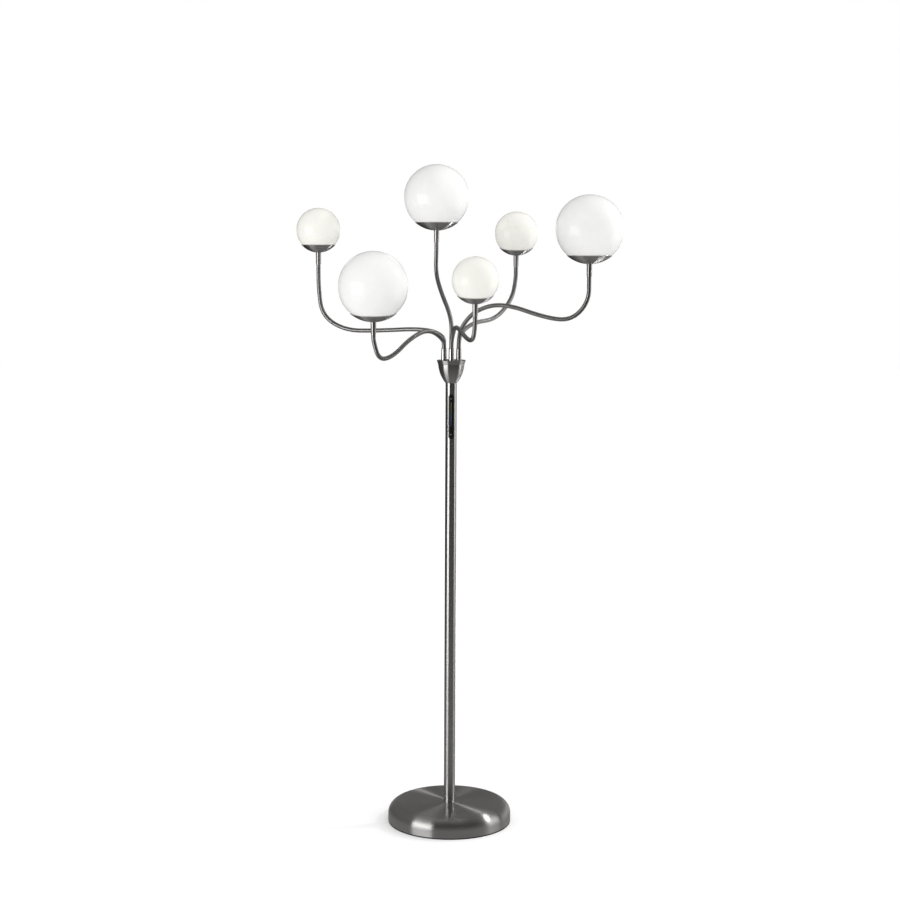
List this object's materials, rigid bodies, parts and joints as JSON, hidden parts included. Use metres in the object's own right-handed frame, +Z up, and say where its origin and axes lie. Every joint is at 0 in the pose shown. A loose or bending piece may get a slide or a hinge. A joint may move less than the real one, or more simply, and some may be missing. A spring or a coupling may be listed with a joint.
{
  "type": "tree floor lamp",
  "caption": "Standing lamp with a weighted round base, straight pole, touch strip and flexible arms that carry large and small opal globes.",
  "frame": {"origin": "centre of the base pad's underside, on the floor and on the pole's axis", "axes": "+Z up along the pole, -Y to the front with the touch strip, +X to the lamp's right as seen from the front"},
  "size_m": [0.7297, 0.4787, 1.493],
  "materials": {
    "brushed_steel": "satin brushed, fine straight or turned grain",
    "gooseneck_steel": "satin plated flexible tube with a fine winding",
    "opal_glass": "opal white, glossy, hides the light inside",
    "black_foam": "matt black foam",
    "black_rubber": "matt black rubber",
    "cast_weight": "rough cast",
    "zinc": "bright zinc plate",
    "black_lens": "glossy black with a coloured line for touch",
    "board": "white circuit board with yellow light chips",
    "green_board": "green circuit board",
    "aluminium": "turned aluminium",
    "lead_sheath": "black sheath"
  },
  "bodies": {
    "stand": {"base_pad": "black_foam", "base_weight": "cast_weight", "base_shell": "brushed_steel", "cord_inlet_bush": "black_rubber", "pole_lower": "brushed_steel", "pole_middle": "brushed_steel", "pole_upper": "brushed_steel", "pole_couplers": "zinc", "threaded_nipples": "zinc", "nipple_nuts": "zinc", "nipple_washers": "zinc", "wiring_harness": "lead_sheath", "touch_strip": "black_lens", "touch_board": "green_board", "arm_cup": "brushed_steel", "cup_plate": "brushed_steel", "arm_root_sleeves": "brushed_steel", "arm_root_nuts": "zinc"},
    "left_arm": {"left_gooseneck": "gooseneck_steel", "left_gooseneck_neck": "gooseneck_steel"},
    "left_head": {"left_head_sleeve": "brushed_steel", "left_cap": "brushed_steel", "left_light_mount": "aluminium", "left_light_board": "board", "left_globe": "opal_glass"},
    "front_left_arm": {"front_left_gooseneck": "gooseneck_steel", "front_left_gooseneck_neck": "gooseneck_steel"},
    "front_left_head": {"front_left_head_sleeve": "brushed_steel", "front_left_cap": "brushed_steel", "front_left_light_mount": "aluminium", "front_left_light_board": "board", "front_left_globe": "opal_glass"},
    "top_arm": {"top_gooseneck": "gooseneck_steel", "top_gooseneck_neck": "gooseneck_steel"},
    "top_head": {"top_head_sleeve": "brushed_steel", "top_cap": "brushed_steel", "top_light_mount": "aluminium", "top_light_board": "board", "top_globe": "opal_glass"},
    "front_arm": {"front_gooseneck": "gooseneck_steel", "front_gooseneck_neck": "gooseneck_steel"},
    "front_head": {"front_head_sleeve": "brushed_steel", "front_cap": "brushed_steel", "front_light_mount": "aluminium", "front_light_board": "board", "front_globe": "opal_glass"},
    "right_arm": {"right_gooseneck": "gooseneck_steel", "right_gooseneck_neck": "gooseneck_steel"},
    "right_head": {"right_head_sleeve": "brushed_steel", "right_cap": "brushed_steel", "right_light_mount": "aluminium", "right_light_board": "board", "right_globe": "opal_glass"},
    "back_right_arm": {"back_right_gooseneck": "gooseneck_steel", "back_right_gooseneck_neck": "gooseneck_steel"},
    "back_right_head": {"back_right_head_sleeve": "brushed_steel", "back_right_cap": "brushed_steel", "back_right_light_mount": "aluminium", "back_right_light_board": "board", "back_right_globe": "opal_glass"}
  },
  "joints": [
    {"name": "left_swing", "type": "hinge", "parent": "stand", "child": "left_arm", "pos_m": [-0.01645, 0.0095, 1.081], "axis": [0, 0, 1], "range_deg": [-25, 25]},
    {"name": "left_nod", "type": "hinge", "parent": "left_arm", "child": "left_head", "pos_m": [-0.30408, 0.1304, 1.228], "axis": [-0.3875, -0.9219, 0], "range_deg": [-30, 40], "deforming": ["left_gooseneck_neck"]},
    {"name": "front_left_swing", "type": "hinge", "parent": "stand", "child": "front_left_arm", "pos_m": [-0.01645, -0.0095, 1.081], "axis": [0, 0, 1], "range_deg": [-25, 25]},
    {"name": "front_left_nod", "type": "hinge", "parent": "front_left_arm", "child": "front_left_head", "pos_m": [-0.16687, -0.14471, 1.09831], "axis": [0.6833, -0.7302, 0], "range_deg": [-15, 30], "deforming": ["front_left_gooseneck_neck"]},
    {"name": "top_swing", "type": "hinge", "parent": "stand", "child": "top_arm", "pos_m": [0, 0.019, 1.081], "axis": [0, 0, 1], "range_deg": [-25, 25]},
    {"name": "top_nod", "type": "hinge", "parent": "top_arm", "child": "top_head", "pos_m": [-0.03513, 0.16997, 1.289], "axis": [-0.974, -0.2266, 0], "range_deg": [-25, 30], "deforming": ["top_gooseneck_neck"]},
    {"name": "front_swing", "type": "hinge", "parent": "stand", "child": "front_arm", "pos_m": [0, -0.019, 1.081], "axis": [0, 0, 1], "range_deg": [-25, 25]},
    {"name": "front_nod", "type": "hinge", "parent": "front_arm", "child": "front_head", "pos_m": [0.0501, -0.16701, 1.1365], "axis": [0.9516, 0.3074, 0], "range_deg": [-20, 30], "deforming": ["front_gooseneck_neck"]},
    {"name": "right_swing", "type": "hinge", "parent": "stand", "child": "right_arm", "pos_m": [0.01645, -0.0095, 1.081], "axis": [0, 0, 1], "range_deg": [-25, 25]},
    {"name": "right_nod", "type": "hinge", "parent": "right_arm", "child": "right_head", "pos_m": [0.30059, -0.04994, 1.207], "axis": [0.1409, 0.99, 0], "range_deg": [-30, 40], "deforming": ["right_gooseneck_neck"]},
    {"name": "back_right_swing", "type": "hinge", "parent": "stand", "child": "back_right_arm", "pos_m": [0.01645, 0.0095, 1.081], "axis": [0, 0, 1], "range_deg": [-25, 25]},
    {"name": "back_right_nod", "type": "hinge", "parent": "back_right_arm", "child": "back_right_head", "pos_m": [0.14943, 0.20974, 1.2297], "axis": [-0.8212, 0.5707, 0], "range_deg": [-30, 35], "deforming": ["back_right_gooseneck_neck"]}
  ]
}
